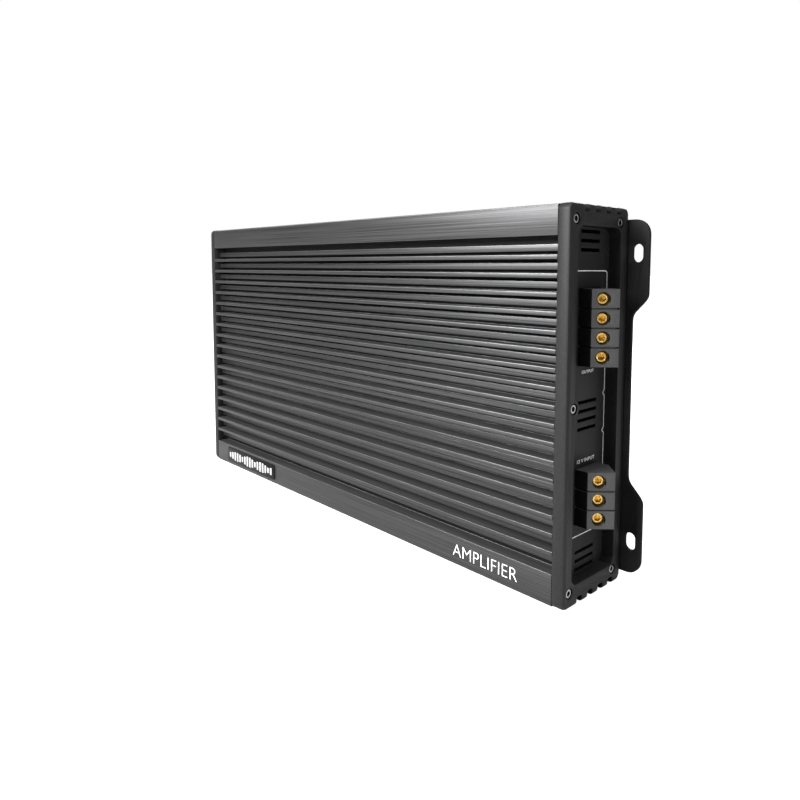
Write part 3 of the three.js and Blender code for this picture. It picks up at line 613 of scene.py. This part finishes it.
insulators = {"left": moulding("white_insulator", (0.8, 0.8, 0.78)),
              "right": moulding("red_insulator", (0.6, 0.02, 0.02))}
shell = turned("shell", [(-17.6, 5.6), (-11.1, 5.6), (-11.1, 4.15), (-0.4, 4.15), (0, 3.9), (0, 3.55),
                         (-0.4, 3.35), (-7.5, 3.35)], 0.12)
insulator = turned("insulator", [(-7.4, 3.3), (-1.3, 3.3), (-1, 3.1), (-1, 1.75), (-7.2, 1.75)], 0.08)
contact = turned("contact", [(-7.1, 1.7), (-1.2, 1.7), (-1.2, 1.25), (-6.5, 1.25)], 0.06)
for side, plastic in insulators.items():
    node = f"rca_input_{side}"
    face = (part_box(node)[0].x, CONTROL_Y, middle_of(node).z)
    place(copied(shell, f"rca_shell_{side}", face, FACE_ABOUT), gilt, "gilt_brass", replaced=[node])
    place(copied(insulator, f"rca_insulator_{side}", face, FACE_ABOUT), plastic, "terminal_plastic")
    place(copied(contact, f"rca_contact_{side}", face, FACE_ABOUT), gilt, "gilt_brass")
for model in (shell, insulator, contact):
    bpy.data.objects.remove(model)

# ---------------------------------------------------------------- level knobs
# Four fluted black knobs, each pressed on the shaft of its potentiometer. They turn with their
# own bodies, and a white bar in the face of each points at the scale printed round it.
KNOBS = ("gain", "low_pass", "subsonic", "bass_boost")
FLUTES = 18
KNOB_RADIUS = 5.6
black_moulded = moulding("black_moulding", grey(0.012), 0.3)
pointer_white = moulding("white_pointer", (0.85, 0.85, 0.85))
knob_body = turned("knob_body", [(-12.8, 1.5), (-5.2, 1.5), (-5.2, KNOB_RADIUS), (-0.6, 5.15), (-0.1, 4.6),
                                 (-0.1, 3.2), (-0.5, 2.9)], 0.08, vertices=4 * FLUTES)
pick(knob_body, lambda middle, normal: math.hypot(middle.y, middle.z) > 4.9 * MM
     and round(math.atan2(middle.z, middle.y) / math.tau * 4 * FLUTES) % 4 in (0, 1), "VERTEX")
bpy.ops.transform.resize(value=(1, 0.94, 0.94), center_override=(0, 0, 0))
bpy.ops.object.mode_set(mode="OBJECT")
bpy.ops.mesh.primitive_cube_add(size=1)
pointer_bar = bpy.context.object
pointer_bar.name = "pointer_bar"
pointer_bar.scale = (0.5 * MM, 0.8 * MM, 2.3 * MM)
pointer_bar.location = (-0.25 * MM, 0, 3.7 * MM)
alone(pointer_bar)
bpy.ops.object.transform_apply(location=True, rotation=True, scale=True)
round_edges(pointer_bar, 0.1 * MM)
for name in KNOBS:
    node = f"{name}_knob"
    face = (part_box(node)[0].x, CONTROL_Y, middle_of(node).z)
    dial = copied(knob_body, f"{name}_dial", face, FACE_ABOUT)
    place(dial, black_moulded, "terminal_plastic", node, [node])
    place(copied(pointer_bar, f"{name}_pointer", face, FACE_ABOUT), pointer_white, "terminal_plastic", node)
    coat(f"{name}_potentiometer", black_moulded)
for model in (knob_body, pointer_bar):
    bpy.data.objects.remove(model)

# ---------------------------------------------------------------- phase switch
# A white slider with four grip ridges stands in a slot of the cap, on a black switch body.
slider_low, slider_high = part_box("phase_switch_slider")
RIDGE = 0.35 * MM
RIDGE_LINES = 7
bpy.ops.mesh.primitive_cube_add(size=1)
slider = bpy.context.object
slider.name = "ridged_slider"
size = slider_high - slider_low
slider.scale = (size.x - RIDGE, size.y, size.z)
slider.location = (slider_low + slider_high + Vector((RIDGE, 0, 0))) / 2
alone(slider)
bpy.ops.object.transform_apply(location=True, rotation=True, scale=True)
cut(slider, 1, [slider_low.y + size.y * line / RIDGE_LINES for line in range(1, RIDGE_LINES)])
pick(slider, lambda middle, normal: normal.x < -0.9
     and int((middle.y - slider_low.y) / size.y * RIDGE_LINES) % 2 == 0)
bpy.ops.mesh.extrude_region_move(TRANSFORM_OT_translate={"value": (-RIDGE, 0, 0)})
round_edges(slider, 0.06 * MM)
place(slider, pointer_white, "terminal_plastic", "phase_switch_slider", ["phase_switch_slider"])
coat("phase_switch_housing", black_moulded)

# ---------------------------------------------------------------- remote jack and indicators
# A round jack for the wired level control, and two domed lenses, blue for power and red for
# protection, each moulded with a flange that keeps it behind the cap's floor.
jack = turned("jack", [(-11.1, 4.9), (-4.6, 4.9), (-4.6, 3.9), (-0.3, 3.9), (0, 3.6), (0, 2.1), (-0.3, 1.8),
                       (-9, 1.8)], 0.1)
face = (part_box("remote_level_jack")[0].x, CONTROL_Y, middle_of("remote_level_jack").z)
place(copied(jack, "remote_jack_bush", face, FACE_ABOUT), black_moulded, "terminal_plastic",
      replaced=["remote_level_jack"])
DOME = [(0.75 * math.sin(math.radians(angle)) - 0.75, 1.45 * math.cos(math.radians(angle)))
        for angle in range(15, 90, 15)]
lens = turned("lens", [(-9.5, 1.9), (-2.6, 1.9), (-2.6, 1.45), (-0.75, 1.45), *DOME], 0.05, vertices=32)
for name, dark, light in (("power", (0.01, 0.08, 0.5), (0.03, 0.2, 0.9)),
                          ("protect", (0.4, 0.01, 0.01), (0.85, 0.05, 0.03))):
    colour = "blue" if name == "power" else "red"
    tint = finish(f"{colour}_lens_tint", dark, light, 0, (0.05, 0.12), (700, 700, 700))
    node = f"{name}_indicator"
    face = (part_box(node)[0].x, CONTROL_Y, middle_of(node).z)
    place(copied(lens, f"{name}_lens", face, FACE_ABOUT), tint, f"{colour}_lens", replaced=[node])
for model in (jack, lens):
    bpy.data.objects.remove(model)

# ---------------------------------------------------------------- circuit boards and small parts
# The main board slides in the extrusion's rails, and the control board stands behind the control
# end. Both have black solder mask. A steel bar clamps the transistors to the heatsink's upper wall.
solder_mask = finish("black_solder_mask", grey(0.002), (0.005, 0.012, 0.007), 0, (0.3, 0.5),
                     (400, 400, 400), 0.02 * MM, shine=0.3)
for node in ("main_circuit_board", "control_circuit_board"):
    coat(node, solder_mask)
coat("transistor_clamp_bar", blackened)

# ---------------------------------------------------------------- transformer and inductor
# Ring cores wrapped in dark tape and wound with enamelled copper wire. One turn of the wire is
# bent to a rounded rectangle and copied round the core.
taped_core = finish("taped_core", (0.02, 0.016, 0.004), (0.06, 0.045, 0.01), 0, (0.35, 0.5),
                    (500, 500, 500))
enamelled = finish("enamelled_copper", (0.3, 0.07, 0.015), (0.6, 0.2, 0.06), 0.8, (0.2, 0.36),
                   (900, 900, 900))


def wire_turn(inner, outer, half_height, wire):
    """One turn of wire round a ring core's section, drawn in XY between two radii along X."""
    data = bpy.data.curves.new("wire_turn", "CURVE")
    data.dimensions = "3D"
    data.bevel_depth = wire / 2
    data.bevel_resolution = 1
    points = []
    for x, y, start in ((outer, half_height, 0), (inner, half_height, 90), (inner, -half_height, 180),
                        (outer, -half_height, 270)):
        corner_x = x - math.copysign(wire, x - inner - wire)
        corner_y = y - math.copysign(wire, y)
        for angle in (start, start + 45, start + 90):
            points.append((corner_x + wire * math.cos(math.radians(angle)),
                           corner_y + wire * math.sin(math.radians(angle))))
    spline = data.splines.new("POLY")
    spline.points.add(len(points) - 1)
    spline.use_cyclic_u = True
    for point, (x, y) in zip(spline.points, points):
        point.co = (x, y, 0, 1)
    piece = bpy.data.objects.new("wire_turn", data)
    bpy.context.collection.objects.link(piece)
    alone(piece)
    bpy.ops.object.convert(target="MESH")
    return bpy.context.object


def joined(name, pieces):
    """Several pieces as one."""
    bpy.ops.object.mode_set(mode="OBJECT")
    bpy.ops.object.select_all(action="DESELECT")
    for piece in pieces:
        piece.select_set(True)
    bpy.context.view_layer.objects.active = pieces[0]
    if len(pieces) > 1:
        bpy.ops.object.join()
    pieces[0].name = name
    return pieces[0]


for node, inner, wire, turns in (("power_transformer", 9, 1.1, 44), ("output_inductor", 7, 1.3, 28)):
    low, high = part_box(node)
    outer = (high.x - low.x) / 2 / MM
    half_height = (high.y - low.y) / 2 / MM
    core_half = half_height - wire
    model = turned("ring_core", [(-core_half, inner + wire), (-core_half, outer - wire),
                                 (core_half, outer - wire), (core_half, inner + wire)], 1, ring=True)
    core = copied(model, f"{node}_core", middle_of(node), (0, 0, math.pi / 2))
    place(core, taped_core, "terminal_plastic", replaced=[node])
    bpy.data.objects.remove(model)
    model = wire_turn((inner + wire / 2) * MM, (outer - wire / 2) * MM, (half_height - wire / 2) * MM,
                      wire * MM)
    winding = joined(f"{node}_winding", [
        copied(model, f"turn_{i}", middle_of(node), (0, math.tau * i / turns, 0)) for i in range(turns)])
    bpy.data.objects.remove(model)
    round_edges(winding, 0)
    place(winding, enamelled, "copper_winding")

# ---------------------------------------------------------------- supply capacitors
# Two tall cans in black sleeves, crimped near the foot, with a bare aluminium top that faces the
# finned side. They are turned once and copied.
sleeve = moulding("capacitor_sleeve", grey(0.015))
bare_can = finish("bare_aluminium", grey(0.45), grey(0.7), 1, (0.25, 0.4), (900, 900, 900))
can = turned("can", [(-26, 10.4), (-25.6, 11), (-23.6, 11), (-23, 10.5), (-22.4, 10.5), (-21.8, 11),
                     (-0.6, 11), (0, 10.4), (0, 9.4), (-0.4, 9)], 0.1)
for number in (1, 2):
    node = f"supply_capacitor_{number}"
    centre = middle_of(node)
    capacitor = copied(can, f"{node}_can", (centre.x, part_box(node)[0].y, centre.z), (0, 0, -math.pi / 2))
    place(capacitor, sleeve, "terminal_plastic", replaced=[node])
    finish_faces(capacitor, bare_can, lambda middle, normal: normal.y < -0.9
                 and (middle - centre).length < 13.4 * MM)
bpy.data.objects.remove(can)

# ---------------------------------------------------------------- badge
# A thin black plate with rounded ends near the lower left corner of the finned face. It carries
# a row of raised silver bars that rise and fall like a sound level.
badge_low, badge_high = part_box("badge")
BADGE_THICKNESS = 0.5 * MM
BAR_COUNT = 17
BAR_WIDTH = 2.5 * MM
BAR_MARGIN = 4 * MM
SHORTEST_HALF = 2.1 * MM
SWING = 2.1 * MM
SWELLS = 3.2


def upright_plate(name, low, high, radius=0, segments=6):
    """A flat plate facing -Y between two corners, with the corners of its outline rounded."""
    size = high - low
    bpy.ops.mesh.primitive_plane_add(size=1, rotation=(math.radians(90), 0, 0))
    piece = bpy.context.object
    piece.name = name
    piece.scale = (size.x, size.z, 1)
    piece.location = ((low.x + high.x) / 2, high.y, (low.z + high.z) / 2)
    alone(piece)
    bpy.ops.object.transform_apply(location=True, rotation=True, scale=True)
    bpy.ops.object.mode_set(mode="EDIT")
    bpy.ops.mesh.select_all(action="SELECT")
    if radius:
        bpy.ops.mesh.bevel(offset=radius, segments=segments, affect="VERTICES")
        bpy.ops.mesh.select_all(action="SELECT")
    bpy.ops.mesh.extrude_region_move(TRANSFORM_OT_translate={"value": (0, -size.y, 0)})
    bpy.ops.mesh.select_all(action="SELECT")
    bpy.ops.mesh.normals_make_consistent(inside=False)
    return piece


gloss_black = finish("black_badge_plate", grey(0.002), grey(0.005), 0, (0.3, 0.42), (300, 300, 300),
                     shine=0.12)
badge_plate = upright_plate(
    "badge_plate", Vector((badge_low.x, front - BADGE_THICKNESS, badge_low.z)),
    Vector((badge_high.x, front, badge_high.z)), 2 * MM)
round_edges(badge_plate, 0.15 * MM)
place(badge_plate, gloss_black, "badge_plastic", replaced=["badge"])

silver = finish("polished_silver", grey(0.42), grey(0.62), 0.3, (0.2, 0.36), (900, 900, 900))
bars = []
badge_middle = (badge_low + badge_high) / 2
bar_run = badge_high.x - badge_low.x - 2 * BAR_MARGIN - BAR_WIDTH
for i in range(BAR_COUNT):
    share = i / (BAR_COUNT - 1)
    x = badge_low.x + BAR_MARGIN + BAR_WIDTH / 2 + share * bar_run
    swell = abs(math.sin(share * SWELLS * math.pi)) * (0.55 + 0.45 * math.sin(share * math.pi))
    half = SHORTEST_HALF + SWING * swell
    bar = upright_plate(
        f"bar_{i}", Vector((x - BAR_WIDTH / 2, badge_low.y, badge_middle.z - half)),
        Vector((x + BAR_WIDTH / 2, front - BADGE_THICKNESS, badge_middle.z + half)), 0.5 * MM, 3)
    round_edges(bar, 0.08 * MM)
    bars.append(bar)
level_bars = joined("badge_level_bars", bars)
place(level_bars, silver, "badge_plastic")

# ---------------------------------------------------------------- printing
# White ink: a plain word on the lower band, a thin line round the terminals on the cap's floor
# with their signs, and scales round the knobs at the other end. Ink stands a hair proud.
INK = 0.03 * MM
WORD_LEFT = 109.5 * MM
WORD_RIGHT = 155.9 * MM
WORD_FOOT = 5.7 * MM
WORD_HEIGHT = 6.8 * MM
FLOOR_X = HALF_LENGTH - 7 * MM
ink = finish("white_ink", grey(0.78), grey(0.92), 0, (0.4, 0.6), (1200, 1200, 1200))


def meshed(drawing):
    """A text or a curve as a closed mesh."""
    alone(drawing)
    bpy.ops.object.convert(target="MESH")
    piece = bpy.context.object
    bpy.ops.object.mode_set(mode="EDIT")
    bpy.ops.mesh.select_all(action="SELECT")
    bpy.ops.mesh.remove_doubles(threshold=0.001 * MM)
    bpy.ops.mesh.normals_make_consistent(inside=False)
    bpy.ops.object.mode_set(mode="OBJECT")
    return piece


def printed(name, words, size, weight=0.0):
    """Flat printed words as a mesh lying in XY from the origin, INK thick."""
    bpy.ops.object.text_add()
    text = bpy.context.object
    text.name = name
    text.data.body = words
    text.data.size = size
    text.data.offset = weight
    text.data.extrude = INK / 2
    text.data.resolution_u = 6
    piece = meshed(text)
    corners = [vertex.co for vertex in piece.data.vertices]
    low = Vector(map(min, *corners))
    high = Vector(map(max, *corners))
    return piece, low, high


word, low, high = printed("printed_word", "AMPLIFIER", 10 * MM, -0.18 * MM)
stretch = Matrix.Diagonal((
    (WORD_RIGHT - WORD_LEFT) / (high.x - low.x), WORD_HEIGHT / (high.y - low.y), 1, 1))
upright = Euler((math.radians(90), 0, 0)).to_matrix().to_4x4()
word.data.transform(Matrix.Translation((WORD_LEFT, front - INK / 2, WORD_FOOT))
                    @ upright @ stretch @ Matrix.Translation((-low.x, -low.y, 0)))
place(word, ink, "cap_finish")


def ink_line(name, points, width, x, side):
    """An ink line through points given by depth behind the finned face and height, on a cap's floor."""
    data = bpy.data.curves.new(name, "CURVE")
    data.dimensions = "3D"
    data.bevel_depth = width / 2
    data.bevel_resolution = 2
    data.use_fill_caps = True
    spline = data.splines.new("POLY")
    spline.points.add(len(points) - 1)
    for point, (depth, z) in zip(spline.points, points):
        point.co = (0, front + depth, z, 1)
    line = bpy.data.objects.new(name, data)
    bpy.context.collection.objects.link(line)
    line = meshed(line)
    flat = Matrix.Diagonal((2 * INK / width, 1, 1, 1))
    line.data.transform(Matrix.Translation((side * x, 0, 0)) @ flat)
    return line


def arc(depth, z, radius, start, end, steps=8):
    angles = [math.radians(start + (end - start) * step / steps) for step in range(steps + 1)]
    return [(depth + radius * math.cos(angle), z + radius * math.sin(angle)) for angle in angles]


LABEL_DEPTH = 28.5 * MM
LINE_TOP = 167.5 * MM
LINE_FOOT = 30.7 * MM
LINE_BACK = 44.8 * MM
LINE_START = 14.6 * MM
LINE_RADIUS = 2 * MM
KINK = 1.6 * MM
inner = LINE_BACK - LINE_RADIUS
route = [(LINE_START, LINE_TOP), *arc(inner, LINE_TOP - LINE_RADIUS, LINE_RADIUS, 90, 0)]
for kink in (103 * MM, 82.8 * MM):
    route += [(LINE_BACK, kink + KINK), (LINE_BACK - KINK, kink), (LINE_BACK, kink - KINK)]
route += [*arc(inner, LINE_FOOT + LINE_RADIUS, LINE_RADIUS, 0, -90), (LINE_START, LINE_FOOT)]
terminal_line = ink_line("terminal_print_line", route, 0.5 * MM, FLOOR_X, 1)
place(terminal_line, ink, "cap_finish")

for name, words, height, width, label_height in (
        ("speaker_print_word", "OUTPUT", 116 * MM, 11 * MM, 1.6 * MM),
        ("power_print_words", "12 V INPUT", 69.8 * MM, 16 * MM, 1.9 * MM)):
    signs, low, high = printed(name, words, 3 * MM, 0.03 * MM)
    fitted = Matrix.Diagonal((width / (high.x - low.x), label_height / (high.y - low.y), 1, 1))
    centred = Matrix.Translation((-(low.x + high.x) / 2, -(low.y + high.y) / 2, 0))
    onto_floor = Matrix(((0, 0, 1), (1, 0, 0), (0, 1, 0))).to_4x4()
    signs.data.transform(Matrix.Translation((FLOOR_X + INK / 2, front + LABEL_DEPTH, height))
                         @ onto_floor @ fitted @ centred)
    place(signs, ink, "cap_finish")

TICKS = 11
KNOB_TURN = 140
TICK_START = 6.6 * MM
TICK_END = 7.7 * MM
ticks = []
for name in KNOBS:
    knob = middle_of(f"{name}_knob")
    for tick in range(TICKS):
        angle = math.radians(-KNOB_TURN + 2 * KNOB_TURN * tick / (TICKS - 1))
        ends = [(CONTROL_Y - front + radius * math.sin(angle), knob.z + radius * math.cos(angle))
                for radius in (TICK_START, TICK_END)]
        ticks.append(ink_line("tick", ends, 0.4 * MM, FLOOR_X, -1))
scales = joined("knob_print_scales", ticks)
place(scales, ink, "cap_finish")
